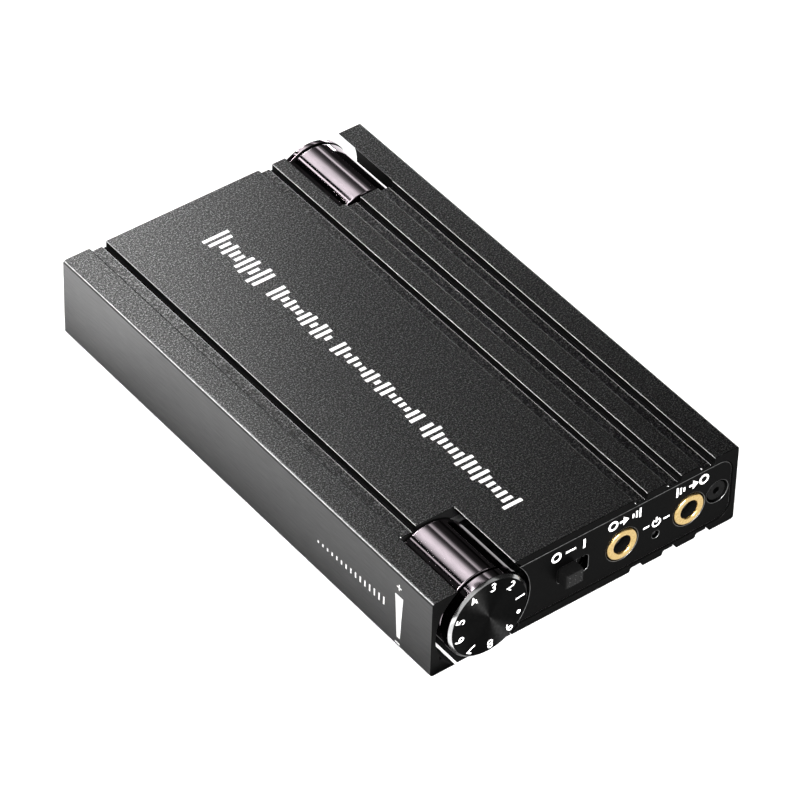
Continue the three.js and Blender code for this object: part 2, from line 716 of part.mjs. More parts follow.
const rearEnd = new THREE.Group();
rearEnd.rotation.z = Math.PI;
rearEnd.add(makeRearPanel());
rearEnd.add(makeScrew('rear_screw'));
rearEnd.add(makeDial('bass_end_cap', END_CAP_BACK, 'satin'));
rearEnd.add(makeRoller('bass_roller', END_CAP_BACK + GAP));
rearEnd.add(makeShaft('bass_shaft'));
rearEnd.add(makePot('bass_pot'));
rearEnd.add(makeUsbShell());
rearEnd.add(makeUsbTongue());
rearEnd.add(makeLed('charge_led', CHARGE_LED_X, USB_Z));
amplifier.add(rearEnd);

const inside = new THREE.Group();
makeInside(inside);
amplifier.add(inside);

export default amplifier;
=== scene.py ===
"""Looks of a pocket headphone amplifier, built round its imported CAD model: metres, +Z up, front to -Y."""
import json
import math

import bmesh
import bpy
from mathutils import Matrix, Vector
from mathutils.bvhtree import BVHTree


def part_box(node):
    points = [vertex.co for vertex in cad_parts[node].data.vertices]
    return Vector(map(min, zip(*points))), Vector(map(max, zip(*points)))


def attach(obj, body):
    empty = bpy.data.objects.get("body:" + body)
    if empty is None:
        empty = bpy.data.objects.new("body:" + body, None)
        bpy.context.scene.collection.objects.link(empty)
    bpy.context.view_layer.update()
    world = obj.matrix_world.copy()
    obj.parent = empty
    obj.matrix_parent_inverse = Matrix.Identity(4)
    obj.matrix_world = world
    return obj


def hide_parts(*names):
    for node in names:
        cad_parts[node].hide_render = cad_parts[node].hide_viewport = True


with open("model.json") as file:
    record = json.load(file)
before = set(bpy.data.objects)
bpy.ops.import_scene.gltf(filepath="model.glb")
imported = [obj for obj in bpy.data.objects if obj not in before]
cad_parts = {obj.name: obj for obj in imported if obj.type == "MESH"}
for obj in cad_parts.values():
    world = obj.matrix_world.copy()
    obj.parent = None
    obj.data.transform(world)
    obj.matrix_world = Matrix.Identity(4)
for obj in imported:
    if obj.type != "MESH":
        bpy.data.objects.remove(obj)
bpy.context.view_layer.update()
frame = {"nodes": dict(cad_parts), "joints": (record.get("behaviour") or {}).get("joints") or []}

MM = 0.001

# ---- places taken from the frame
CASE_LOW, CASE_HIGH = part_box("casing")
LEFT, FRONT, TOP = CASE_LOW.x, CASE_LOW.y, CASE_HIGH.z
DIAL_LOW, DIAL_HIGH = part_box("volume_dial")
PIVOTS = {joint["name"]: Vector(joint["pos_m"]) for joint in frame["joints"] if "pos_m" in joint}

# ---- camera
CAMERA_AZIMUTH = math.radians(-38.39)
CAMERA_ELEVATION = math.radians(42.2)
CAMERA_ROLL = math.radians(1.68)
CAMERA_DISTANCE = 0.88868
CAMERA_TARGET = Vector((-0.000185, -0.001954, 0.007))
CAMERA_LENS = 232.4

# ---- surface detail
CASE_EDGE = 0.09 * MM  # how far the casing's corners are broken
PLATE_EDGE = 0.08 * MM
SCREW_EDGE = 0.06 * MM
PRINT_HEIGHT = 0.02 * MM  # how far the printed marks stand above their surface
PRINT_SINK = 0.01 * MM  # how far they are let into it
PRINT_DEPTH = PRINT_HEIGHT + PRINT_SINK
BORE_RADIUS = 1.8 * MM  # of the sockets
FINE = 144  # segments round a turned piece
SHARP = math.radians(40)  # corners sharper than this stay crisp
TURNED_SHARP = math.radians(33)
MOULDED_SHARP = math.radians(50)


def linked(name, data):
    """A new object that holds the data, put in the scene."""
    made = bpy.data.objects.new(name, data)
    bpy.context.scene.collection.objects.link(made)
    return made


def make_camera():
    data = bpy.data.cameras.new("camera")
    data.lens = CAMERA_LENS
    data.clip_start = 0.05
    data.clip_end = 20
    camera = linked("camera", data)
    azimuth, elevation = CAMERA_AZIMUTH, CAMERA_ELEVATION
    level = math.cos(elevation)
    back = Vector((math.sin(azimuth) * level, -math.cos(azimuth) * level, math.sin(elevation)))
    right = Matrix.Rotation(CAMERA_ROLL, 3, back) @ Vector((math.cos(azimuth), math.sin(azimuth), 0))
    up = back.cross(right)
    camera.rotation_mode = "QUATERNION"
    camera.rotation_quaternion = Matrix((right, up, back)).transposed().to_quaternion()
    camera.location = CAMERA_TARGET + back * CAMERA_DISTANCE
    bpy.context.scene.camera = camera


# ---- node helpers
def add_node(tree, kind, **inputs):
    """A new node with some of its inputs set."""
    node = tree.nodes.new(f"ShaderNode{kind}")
    for name, value in inputs.items():
        node.inputs[name.replace("_", " ")].default_value = value
    return node


def combined(tree, operation, a, b):
    """Two sockets' values, or a socket's and a number, added or multiplied."""
    node = add_node(tree, "Math")
    node.operation = operation
    tree.links.new(a, node.inputs[0])
    if isinstance(b, (int, float)):
        node.inputs[1].default_value = b
    else:
        tree.links.new(b, node.inputs[1])
    return node.outputs["Value"]


def ramp_of(tree, value, stops):
    """A colour that follows value through (position, colour) stops."""
    ramp = add_node(tree, "ValToRGB")
    elements = ramp.color_ramp.elements
    while len(elements) < len(stops):
        elements.new(1)
    for element, (position, colour) in zip(elements, stops):
        element.position = position
        element.color = (*colour, 1)
    tree.links.new(value, ramp.inputs["Fac"])
    return ramp.outputs["Color"]


class Finish:
    """A material being built: its Principled shader and the textures that feed it."""

    def __init__(self, name, **sockets):
        self.material = bpy.data.materials.new(name)
        self.material.use_nodes = True
        self.tree = self.material.node_tree
        self.shader = self.tree.nodes["Principled BSDF"]
        for socket, value in sockets.items():
            self.shader.inputs[socket.replace("_", " ")].default_value = value
        self.place = add_node(self.tree, "TexCoord").outputs["Object"]

    def link(self, output, target):
        self.tree.links.new(output, target)

    def stretched(self, x, y, z):
        """Coordinates scaled apart, for grain that runs in one direction."""
        mapping = add_node(self.tree, "Mapping", Scale=(x, y, z))
        self.link(self.place, mapping.inputs["Vector"])
        return mapping.outputs["Vector"]

    def noise(self, size, detail=2.0, coordinates=None):
        """Cloudy noise whose lumps are about size across."""
        node = add_node(self.tree, "TexNoise", Scale=1 / size, Detail=detail)
        self.link(coordinates or self.place, node.inputs["Vector"])
        return node.outputs["Fac"]

    def pits(self, size):
        """Distance from scattered points: the dimples of a blasted or sand-cast surface."""
        node = add_node(self.tree, "TexVoronoi", Scale=1 / size)
        self.link(self.place, node.inputs["Vector"])
        return node.outputs["Distance"]

    def spread(self, value, low, high, to_low=0.0, to_high=1.0):
        """Stretches value's range low..high to to_low..to_high."""
        node = add_node(self.tree, "MapRange", From_Min=low, From_Max=high, To_Min=to_low, To_Max=to_high)
        self.link(value, node.inputs["Value"])
        return node.outputs["Result"]

    def colours(self, value, *stops):
        """Base colour from value, through (position, colour) stops."""
        self.link(ramp_of(self.tree, value, stops), self.shader.inputs["Base Color"])
        return self

    def roughness(self, value, low, high):
        self.link(self.spread(value, 0, 1, low, high), self.shader.inputs["Roughness"])
        return self

    def brushed_round(self, axis, amount):
        """Marks that run in circles about an axis, which draw a highlight out into fans."""
        tangent = add_node(self.tree, "Tangent")
        tangent.direction_type = "RADIAL"
        tangent.axis = axis
        self.link(tangent.outputs["Tangent"], self.shader.inputs["Tangent"])
        self.shader.inputs["Anisotropic"].default_value = amount
        self.shader.inputs["Anisotropic Rotation"].default_value = 0.25
        return self

    def bump(self, value, depth):
        node = add_node(self.tree, "Bump", Distance=depth)
        self.link(value, node.inputs["Height"])
        self.link(node.outputs["Normal"], self.shader.inputs["Normal"])
        return self


def grey(value, warmth=0.0):
    return (value * (1 + warmth), value, value * (1 - warmth))


# ---- materials
EDGE_TINT = (0.6, 0.6, 0.6, 1)  # the deep blacks stay black where they are seen aslant


def blasted_anodised():
    """The long faces: black anodising over a sand-blasted surface, which sparkles in fine specks."""
    finish = Finish("blasted_anodised", Metallic=1.0)
    specks = finish.noise(0.17 * MM, 2)
    lumps = finish.noise(0.34 * MM, 2)
    mixed = finish.spread(combined(finish.tree, "ADD", specks, lumps), 0.75, 1.25)
    finish.colours(mixed, (0.0, grey(0.036)), (0.55, grey(0.082)), (0.8, grey(0.155)), (1.0, grey(0.36)))
    finish.roughness(finish.noise(0.6 * MM), 0.3, 0.4)
    return finish.bump(mixed, 0.014 * MM).material


def satin_anodised():
    """The narrow sides and the ends: the same anodising on a smooth drawn surface."""
    finish = Finish("satin_anodised", Metallic=0.85)
    drawn = finish.noise(0.25 * MM, 2, finish.stretched(1, 0.06, 1))
    finish.colours(drawn, (0.3, grey(0.09)), (0.7, grey(0.115)))
    finish.roughness(finish.noise(4 * MM, 3), 0.36, 0.44)
    return finish.bump(drawn, 0.0015 * MM).material


def broken_edge():
    """The casing's broken corners that face up: a brighter metal than the faces beside them, a painted
    highlight along them.
    """
    finish = Finish("broken_edge", Metallic=1.0)
    highlight_mottle = finish.noise(0.9 * MM, 4)
    finish.colours(highlight_mottle, (0.3, grey(0.3)), (0.62, grey(0.42)), (0.8, grey(0.62)))
    finish.roughness(highlight_mottle, 0.26, 0.4)
    return finish.bump(finish.noise(0.2 * MM), 0.004 * MM).material


def plate_satin():
    """The end plates: a fine satin black with a slight orange peel."""
    finish = Finish("plate_satin", Metallic=1.0, Specular_Tint=EDGE_TINT)
    peel = finish.noise(0.22 * MM, 3)
    finish.colours(peel, (0.3, grey(0.005)), (0.7, grey(0.009)))
    finish.roughness(finish.noise(1.5 * MM, 3), 0.34, 0.44)
    return finish.bump(peel, 0.006 * MM).material


def spun_black():
    """The dial's face, turned on a lathe and anodised black."""
    finish = Finish("spun_black", Metallic=1.0, Specular_Tint=EDGE_TINT)
    haze = finish.noise(0.5 * MM, 3)
    finish.colours(haze, (0.3, grey(0.005)), (0.7, grey(0.009)))
    finish.roughness(haze, 0.46, 0.54)
    finish.brushed_round("Y", 0.9)
    return finish.bump(finish.noise(0.12 * MM), 0.001 * MM).material


def mottled(name, grain, detail, dark, light, roughness, depth=0.0, stretch=(1, 1, 1), **sockets):
    """A finish whose one cloudy texture sets its colour, its roughness and its relief."""
    finish = Finish(name, **sockets)
    texture = finish.noise(grain, detail, finish.stretched(*stretch))
    finish.colours(texture, (0.3, dark), (0.7, light))
    finish.roughness(texture, *roughness)
    if depth:
        finish.bump(texture, depth)
    return finish.material


def moulded(name, dark, light, roughness=0.5, grain=0.25 * MM, depth=0.006 * MM, **sockets):
    """A moulded or pressed finish: a fine spark-eroded texture over a slightly uneven colour."""
    finish = Finish(name, **sockets)
    texture = finish.noise(grain, 3)
    finish.colours(texture, (0.3, dark), (0.7, light))
    finish.roughness(finish.noise(grain * 8, 2), roughness * 0.85, min(1.0, roughness * 1.15))
    return finish.bump(texture, depth).material


def solder_mask():
    """The board: black mask over copper tracks, which show as slightly raised, lighter lines."""
    finish = Finish("solder_mask")
    tracks = add_node(finish.tree, "TexBrick", Scale=1 / (6 * MM), Mortar_Size=0.04)
    finish.link(finish.place, tracks.inputs["Vector"])
    weave = finish.noise(0.3 * MM, 2)
    height = combined(finish.tree, "ADD", tracks.outputs["Fac"], weave)
    finish.colours(finish.spread(height, 0.3, 1.6), (0.2, grey(0.008)), (0.8, grey(0.022)))
    finish.roughness(weave, 0.28, 0.44)
    return finish.bump(height, 0.02 * MM).material


def foam():
    finish = Finish("foam")
    cells = finish.pits(0.35 * MM)
    finish.colours(cells, (0.1, grey(0.02)), (0.8, grey(0.075)))
    finish.roughness(cells, 0.85, 1.0)
    return finish.bump(cells, 0.15 * MM).material


MATERIALS = {
    "blasted": blasted_anodised(),
    "satin": satin_anodised(),
    # the casing's upward corners: a painted highlight
    "edge": broken_edge(),
    # inside the grooves, the pockets and the bores: the anodising made near-black, a painted shade where
    # little light reaches
    "recess_painted_shade": mottled("recess_painted_shade_black", 0.2 * MM, 2, grey(0.002), grey(0.005), (0.55, 0.7), 0.003 * MM,
                      stretch=(1, 0.08, 1), Specular_IOR_Level=0.04),
    # near-white corners along the grooves: a painted highlight where the light cannot reach them
    "painted_white_highlight": moulded("painted_white_highlight_edge", grey(0.7), grey(0.95), 0.5),
    # the long upper edge below its bright line: the sides' anodising made darker, a painted shade band
    "shade": mottled("painted_shade_anodised", 0.25 * MM, 2, grey(0.03), grey(0.045), (0.36, 0.44),
                     stretch=(1, 0.06, 1), Metallic=0.85),
    "plate": plate_satin(),
    # the end plates' broken corners, a little lighter than their faces; on the casing's upper left corner
    # this finish is a painted highlight line
    "plate_edge_and_painted_highlight": mottled("plate_edge_and_painted_highlight", 0.7 * MM, 3, grey(0.16), grey(0.3), (0.28, 0.4), Metallic=1.0),
    "spun": spun_black(),
    # the bright cut that runs round the dial's face
    "chamfer": mottled("polished_chamfer", 2 * MM, 3, grey(0.5), grey(0.66), (0.13, 0.17), Metallic=1.0),
    # the rollers: polished black chrome with a trace of mauve
    "chrome": mottled("black_chrome", 1.2 * MM, 4, (0.37, 0.324, 0.352), (0.45, 0.39, 0.424), (0.05, 0.09),
                      stretch=(1, 0.35, 1), Metallic=1.0),
    "gold": mottled("gold_plate", 0.5 * MM, 3, (0.78, 0.53, 0.2), (0.92, 0.68, 0.31), (0.16, 0.3),
                    0.003 * MM, Metallic=1.0),
    # nickelled sheet steel with faint rolling lines
    "steel": mottled("bright_steel", 0.3 * MM, 3, grey(0.42), grey(0.6), (0.24, 0.4), 0.003 * MM,
                     stretch=(0.1, 1, 1), Metallic=1.0),
    # the screws: blackened steel, slightly mottled
    "oxide": mottled("black_oxide", 0.25 * MM, 4, grey(0.009), grey(0.025), (0.34, 0.52), 0.005 * MM,
                     Metallic=1.0, Specular_Tint=EDGE_TINT),
    "black_plastic": moulded("black_plastic", grey(0.004), grey(0.009), 0.45, Specular_IOR_Level=0.15),
    "lever": moulded("lever_black", grey(0.002), grey(0.005), 0.5, Specular_IOR_Level=0.12),
    "bore": moulded("bore_black", grey(0.002), grey(0.005), 0.7, Specular_IOR_Level=0.05),
    "print": moulded("white_print", grey(0.78, 0.01), grey(0.9, 0.01), 0.55, 0.15 * MM, 0.003 * MM),
    "board": solder_mask(),
    # the battery's pouch and the capacitors' cans: dull foil with soft creases
    "foil": mottled("crinkled_foil", 3 * MM, 4, grey(0.42), grey(0.6), (0.28, 0.46), 0.12 * MM, Metallic=0.9),
    "foam": foam(),
    "ferrite": moulded("pressed_ferrite", grey(0.035), grey(0.075), 0.7, 0.3 * MM, 0.02 * MM),
    "nylon": moulded("natural_nylon", grey(0.7, 0.03), grey(0.82, 0.03), 0.4),
    "red_wire": moulded("red_insulation", (0.32, 0.012, 0.01), (0.5, 0.03, 0.02), 0.45, 0.4 * MM),
    "black_wire": moulded("black_insulation", grey(0.01), grey(0.022), 0.45, 0.4 * MM),
    "lens": moulded("clear_epoxy", (0.05, 0.055, 0.06), (0.08, 0.085, 0.09), 0.2, 0.5 * MM, 0.001 * MM,
                    Transmission_Weight=0.85, IOR=1.45),
}


# ---- mesh helpers
def piece(name, work, materials, body, replaced=(), sharp=SHARP):
    """Puts a bmesh in the scene as a piece of the object, smooth except at its sharp corners."""
    mesh = bpy.data.meshes.new(name)
    bmesh.ops.recalc_face_normals(work, faces=work.faces)
    work.to_mesh(mesh)
    work.free()
    mesh.shade_smooth()
    mesh.set_sharp_from_angle(angle=sharp)
    made = linked(name, mesh)
    for key in materials:
        mesh.materials.append(MATERIALS[key])
    steady_normals(made)
    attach(made, body)
    if replaced:
        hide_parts(*replaced)
    return made


def steady_normals(made):
    """Keeps broad flat faces flat-shaded beside their narrow bevels."""
    modifier = made.modifiers.new("steady_normals", "WEIGHTED_NORMAL")
    modifier.weight = 100
    modifier.keep_sharp = True


REFINED_SHARP = math.radians(38)  # corners sharper than this are broken
WELD = 0.002 * MM  # a node's corners that are this close together are one
FLAT = math.radians(0.6)  # facets that meet at less than this are joined
BEVEL_REACH = 0.6  # a bevel moves a corner by no more than this share of its width,
BEVEL_RISE = 0.05  # and outwards by no more than this share


def refined(node, name, materials, edge, paint=None, corner_paint=None):
    """A copy of a CAD node of the casing's body with its corners broken. The corners get the second
    material unless corner_paint(face) chooses another, and paint(face) chooses any other face's."""
    work = bmesh.new()
    work.from_mesh(frame["nodes"][node].data)
    bmesh.ops.remove_doubles(work, verts=work.verts, dist=WELD)
    bmesh.ops.dissolve_limit(work, angle_limit=FLAT, verts=work.verts, edges=work.edges)
    for face in work.faces:
        face.material_index = paint(face) if paint else 0
    before = BVHTree.FromBMesh(work)
    corners = [e for e in work.edges if e.is_convex and e.calc_face_angle(0) > REFINED_SHARP]
    bmesh.ops.bevel(work, geom=corners, offset=edge, segments=2, profile=0.5, affect="EDGES",
                    clamp_overlap=False, material=1)
    for vertex in work.verts:
        nearest, normal, _, distance = before.find_nearest(vertex.co)
        if distance > edge * BEVEL_REACH or (vertex.co - nearest).dot(normal) > edge * BEVEL_RISE:
            vertex.co = nearest
    if corner_paint:
        work.normal_update()
        for face in work.faces:
            if face.material_index == 1:
                face.material_index = corner_paint(face)
    return piece(name, work, materials, "amplifier_body", [node], REFINED_SHARP)


def turned(profile, segments, closed=False):
    """A piece turned round the Y axis, from [radius, along] points: either closed on itself or ending on
    the axis at both ends."""
    work = bmesh.new()
    rings = []
    for radius, along in profile:
        points = disc(0, 0, radius, segments if radius > 1e-9 else 1)
        rings.append([work.verts.new((x, along, z)) for x, z in points])
    pairs = list(zip(rings, rings[1:]))
    if closed:
        pairs.append((rings[-1], rings[0]))
    for a, b in pairs:
        for step in range(segments):
            after = (step + 1) % segments
            corners = [a[step % len(a)], a[after % len(a)], b[after % len(b)], b[step % len(b)]]
            work.faces.new(list(dict.fromkeys(corners)))
    return work


def rounded(profile, radius, steps):
    """The profile with an arc of that radius at each of its inner corners."""
    points = [Vector(p) for p in profile]
    result = [points[0]]
    for previous, point, following in zip(points, points[1:], points[2:]):
        before, after = previous - point, following - point
        reach = min(radius, before.length * 0.45, after.length * 0.45)
        start = point + before.normalized() * reach
        end = point + after.normalized() * reach
        for step in range(steps + 1):
            share = step / steps
            near = start.lerp(point, share)
            far = point.lerp(end, share)
            result.append(near.lerp(far, share))
    return [(p.x, p.y) for p in result + points[-1:]]


def at_axis(work, pivot, along=0.0, turn=0.0):
    """Moves a turned piece onto a control's axis."""
    bmesh.ops.rotate(work, verts=work.verts, matrix=Matrix.Rotation(turn, 3, "Z"))
    bmesh.ops.translate(work, verts=work.verts, vec=(pivot.x, along, pivot.z))


def paint_turned(work, choose):
    """Gives each face of a turned piece the finish whose number choose(radius, along) returns."""
    for face in work.faces:
        middle = face.calc_center_median()
        face.material_index = choose(math.hypot(middle.x, middle.z), middle.y)


def prism(work, outline, place, depth):
    """Adds a flat figure to work. place(u, v, w) says where a point of it goes, w being its height."""
    low = [work.verts.new(place(u, v, 0)) for u, v in outline]
    high = [work.verts.new(place(u, v, depth)) for u, v in outline]
    work.faces.new(low)
    work.faces.new(high[::-1])
    for index in range(len(outline)):
        after = (index + 1) % len(outline)
        work.faces.new([low[index], low[after], high[after], high[index]])


def bar(left, bottom, right, top):
    return [(left, bottom), (right, bottom), (right, top), (left, top)]


def disc(u, v, radius, steps=24):
    angles = [2 * math.pi * step / steps for step in range(steps)]
    return [(u + radius * math.cos(a), v + radius * math.sin(a)) for a in angles]


def hoop(work, u, v, radius, width, place, depth, start=0.0, sweep=2 * math.pi, steps=28):
    """Adds a ring, or an arc of one, as a row of small prisms that share no faces."""
    whole = abs(sweep - 2 * math.pi) < 1e-6
    inner, outer = radius - width / 2, radius + width / 2
    rows = []
    for step in range(steps if whole else steps + 1):
        angle = start + sweep * step / steps
        across = Vector((math.cos(angle), math.sin(angle)))
        rows.append([
            work.verts.new(place(u + across.x * reach, v + across.y * reach, height))
            for reach, height in ((inner, 0), (outer, 0), (outer, depth), (inner, depth))
        ])
    for index in range(steps):
        a, b = rows[index], rows[(index + 1) % len(rows)]
        for corner in range(4):
            after = (corner + 1) % 4
            work.faces.new([a[corner], a[after], b[after], b[corner]])
    if not whole:
        work.faces.new(rows[0])
        work.faces.new(rows[-1][::-1])


# ---- casing and end plates
LEDGE_DEPTH = 1.0 * MM  # the grooves' shallow ledges lie within this of the long faces
SIDE_ROUND = 0.61 * MM  # the long corners' rounding ends within this of the narrow sides
RIM_DEPTH = 0.05 * MM  # the end rims lie within this of the casing's ends
PAINTED_HIGHLIGHT_DEPTHS = (0.4 * MM, 1.1 * MM)  # below the top, where the grooves' left corners lie; their right-facing corners there get a near-white painted highlight
CASING_FINISHES = ["blasted", "edge", "satin", "recess_painted_shade", "plate", "painted_white_highlight", "shade", "plate_edge_and_painted_highlight"]


def casing_finish(face):
    """Long faces blasted, narrow sides satin, the upper left corner a painted highlight line over a painted
    shade band, and everything sunk below them near-black: a painted shade.
    """
    normal, centre = face.normal, face.calc_center_median()
    depth = min(TOP - centre.z, centre.z - CASE_LOW.z)
    if abs(normal.z) > 0.9:
        return "blasted" if depth < LEDGE_DEPTH else "recess_painted_shade"
    # the upper left corner's rounding: a brighter finish on top as a painted highlight line, a darker one
    # below as a painted shade band
    if normal.x < -0.3 and centre.x - LEFT < SIDE_ROUND and normal.z > 0.1:
        return "plate_edge_and_painted_highlight" if normal.z > 0.7 else "shade"
    if abs(normal.x) > 0.3 and min(centre.x - LEFT, CASE_HIGH.x - centre.x) < SIDE_ROUND:
        return "satin"
    if abs(normal.y) > 0.9 and min(centre.y - FRONT, CASE_HIGH.y - centre.y) < RIM_DEPTH:
        return "plate"
    return "recess_painted_shade"


def casing_corner_finish(face):
    """Corners that face up get a brighter finish, a painted highlight; the grooves' right-facing corners at
    some depths a near-white painted highlight; upright corners, those underneath and the other right-facing
    ones the dark plate or near-black finish, a painted shade."""
    depth = TOP - face.calc_center_median().z
    if face.normal.x > 0.2 and face.normal.z > 0.2:
        return "painted_white_highlight" if PAINTED_HIGHLIGHT_DEPTHS[0] < depth < PAINTED_HIGHLIGHT_DEPTHS[1] else "recess_painted_shade"
    if face.normal.z > 0.25 and abs(face.normal.y) < 0.3:
        return "edge"
    return "plate" if face.normal.z > -0.25 else "recess_painted_shade"


def make_casing():
    refined("casing", "casing_shell", CASING_FINISHES, CASE_EDGE,
            lambda face: CASING_FINISHES.index(casing_finish(face)),
            lambda face: CASING_FINISHES.index(casing_corner_finish(face)))


def make_plates():
    for end in ("front", "rear"):
        refined(f"{end}_panel", f"{end}_plate", ["plate", "plate_edge_and_painted_highlight"], PLATE_EDGE)
        refined(f"{end}_screw", f"{end}_screw_head", ["oxide", "oxide"], SCREW_EDGE)


# ---- controls
SPUN_PITCH = 0.16 * MM
SPUN_DEPTH = 0.0025 * MM
SPUN_STEPS = 4
DIAL_CHAMFER = 0.5 * MM
DIAL_EDGE = 0.03 * MM
DIAL_BACK_GAP = 0.6 * MM  # between the dial's back and its roller
HUB_RADIUS = 4 * MM
DIAL_DIMPLE = 0.5 * MM


def spun_face(radius, face):
    """Profile points of a turned face: fine concentric grooves out to that radius."""
    points = [(0, face)]
    count = int((radius - DIAL_DIMPLE) / SPUN_PITCH) * SPUN_STEPS
    for step in range(count + 1):
        wave = math.sin(2 * math.pi * step / SPUN_STEPS) * SPUN_DEPTH
        points.append((DIAL_DIMPLE + SPUN_PITCH * step / SPUN_STEPS, face + SPUN_DEPTH + wave))
    return points


def make_dial():
    """The volume control's face: spun black, with a polished chamfer and a polished rim."""
    radius = (DIAL_HIGH.x - DIAL_LOW.x) / 2
    face = DIAL_LOW.y
    roller_low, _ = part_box("volume_roller")
    back = roller_low.y - DIAL_BACK_GAP
    flat = radius - DIAL_CHAMFER
    rim = face + DIAL_CHAMFER
    points = spun_face(flat - DIAL_EDGE * 2, face)
    points += [(flat, face + DIAL_EDGE / 3), (radius - DIAL_EDGE, rim - DIAL_EDGE), (radius, rim + DIAL_EDGE)]
    points += [(radius, back - DIAL_EDGE * 3), (radius - DIAL_EDGE * 3, back), (HUB_RADIUS, back)]
    points += [(HUB_RADIUS, DIAL_HIGH.y), (0, DIAL_HIGH.y)]
    work = turned(points, FINE)
    paint_turned(work, lambda reach, along: 2 if along > rim - DIAL_EDGE / 2
                 else int(reach > flat - DIAL_EDGE))
    at_axis(work, PIVOTS["volume_turn"])
    piece("dial_body", work, ["spun", "chamfer", "chrome"], "volume_control", ["volume_dial"],
          TURNED_SHARP)


PIECE_GAP = 0.3 * MM
ROLLER_WEB = 1.2 * MM  # between the bore for the dial's hub and the one for the shaft
SHAFT_RADIUS = 3 * MM
ROLLER_EDGE = 0.22 * MM


def make_roller(control, joint, node, hub_node, face_sign):
    """A polished roller, bored at its face for the dial's hub and at its back for the shaft."""
    low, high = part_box(node)
    hub_low, hub_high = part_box(hub_node)
    radius = (high.x - low.x) / 2
    length = high.y - low.y
    hub, shaft = HUB_RADIUS + PIECE_GAP, SHAFT_RADIUS + PIECE_GAP
    floor = PIECE_GAP + (hub_high.y - low.y if face_sign < 0 else high.y - hub_low.y)
    profile = [(0, floor), (hub, floor), (hub, 0), (radius, 0), (radius, length), (shaft, length),
               (shaft, floor + ROLLER_WEB), (0, floor + ROLLER_WEB)]
    work = turned(rounded(profile, ROLLER_EDGE, 3), FINE)
    turn = 0.0 if face_sign < 0 else math.pi
    start = low.y if face_sign < 0 else high.y
    at_axis(work, PIVOTS[joint], start, turn)
    piece(f"{node}_skin", work, ["chrome"], control, [node], TURNED_SHARP)


CAP_DISH = 0.12 * MM  # how far the cap's face is sunk inside its rim
CAP_RIM = 1 * MM
CAP_EDGE = 0.2 * MM


def make_end_cap():
    """The rear roller's end: a dark face, dished a little inside its rim, and a bright side."""
    low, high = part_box("bass_end_cap")
    roller_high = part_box("bass_roller")[1]
    radius = (high.x - low.x) / 2
    length = high.y - low.y
    back = high.y - roller_high.y - PIECE_GAP
    profile = [(0, CAP_DISH), (radius - CAP_RIM - CAP_EDGE, CAP_DISH), (radius - CAP_RIM, 0), (radius, 0),
               (radius, back), (HUB_RADIUS, back), (HUB_RADIUS, length), (0, length)]
    work = turned(rounded(profile, CAP_EDGE, 4), FINE)
    paint_turned(work, lambda reach, along: int(reach > radius - CAP_EDGE / 8))
    at_axis(work, PIVOTS["bass_turn"], high.y, math.pi)
    piece("bass_cap", work, ["spun", "chrome"], "bass_control", ["bass_end_cap"], TURNED_SHARP)


DIGIT_RADIUS = 6.45 * MM
DIGIT_HEIGHT = 1.85 * MM
DIGIT_FIRST = 9.1  # degrees from +X for the figure 1
DIGIT_STEP = 37.8
DIGIT_WEIGHT = 0.004  # added to the strokes of a figure one unit high
DOT_SIZE = 0.42 * MM
DOT_RADIUS = 6.64 * MM
DOT_ANGLE = -20.3


def figure_mesh(text):
    """A figure as a mesh in its own plane, one unit high, from Blender's own plain typeface."""
    curve = bpy.data.curves.new("figure", "FONT")
    curve.body = text
    curve.align_x = "CENTER"
    curve.offset = DIGIT_WEIGHT
    curve.resolution_u = 6
    source = linked("figure", curve)
    bpy.context.view_layer.update()
    mesh = bpy.data.meshes.new_from_object(source.evaluated_get(bpy.context.evaluated_depsgraph_get()))
    bpy.data.objects.remove(source)
    bpy.data.curves.remove(curve)
    return mesh


def add_figure(work, text, angle):
    """Adds one figure of the dial's scale to work, its head pointing away from the centre."""
    part = bmesh.new()
    mesh = figure_mesh(text)
    part.from_mesh(mesh)
    bpy.data.meshes.remove(mesh)
    top = max(v.co.y for v in part.verts)
    bottom = min(v.co.y for v in part.verts)
    middle = (max(v.co.x for v in part.verts) + min(v.co.x for v in part.verts)) / 2
    scale = DIGIT_HEIGHT / (top - bottom)
    outward = Vector((math.cos(angle), 0, math.sin(angle)))
    along = Vector((math.sin(angle), 0, -math.cos(angle)))
    pivot = PIVOTS["volume_turn"]
    centre = Vector((pivot.x, DIAL_LOW.y, pivot.z)) + outward * DIGIT_RADIUS
    extruded = bmesh.ops.extrude_face_region(part, geom=part.faces[:])
    raised = {part_of for part_of in extruded["geom"] if isinstance(part_of, bmesh.types.BMVert)}
    for vertex in part.verts:
        across = (vertex.co.x - middle) * scale
        up = (vertex.co.y - (top + bottom) / 2) * scale
        depth = -PRINT_HEIGHT if vertex in raised else PRINT_SINK
        vertex.co = centre + along * across + outward * up + Vector((0, depth, 0))
    bmesh.ops.recalc_face_normals(part, faces=part.faces)
    scratch = bpy.data.meshes.new("scratch")
    part.to_mesh(scratch)
    part.free()
    work.from_mesh(scratch)
    bpy.data.meshes.remove(scratch)


def make_dial_scale():
    work = bmesh.new()
    pivot = PIVOTS["volume_turn"]
    for figure in range(1, 10):
        add_figure(work, str(figure), math.radians(DIGIT_FIRST + DIGIT_STEP * (figure - 1)))
    dot = math.radians(DOT_ANGLE)
    across, up = pivot.x + DOT_RADIUS * math.cos(dot), pivot.z + DOT_RADIUS * math.sin(dot)
    prism(work, disc(across, up, DOT_SIZE), lambda u, v, w: (u, DIAL_LOW.y + PRINT_SINK - w, v), PRINT_DEPTH)
    piece("dial_scale", work, ["print"], "volume_control")


# ---- sockets, switch and lights
RING_CROWN = 0.4 * MM
RING_STEPS = 8  # round the crown's edge
RING_SEGMENTS = 96
RING_LIP = 0.1 * MM


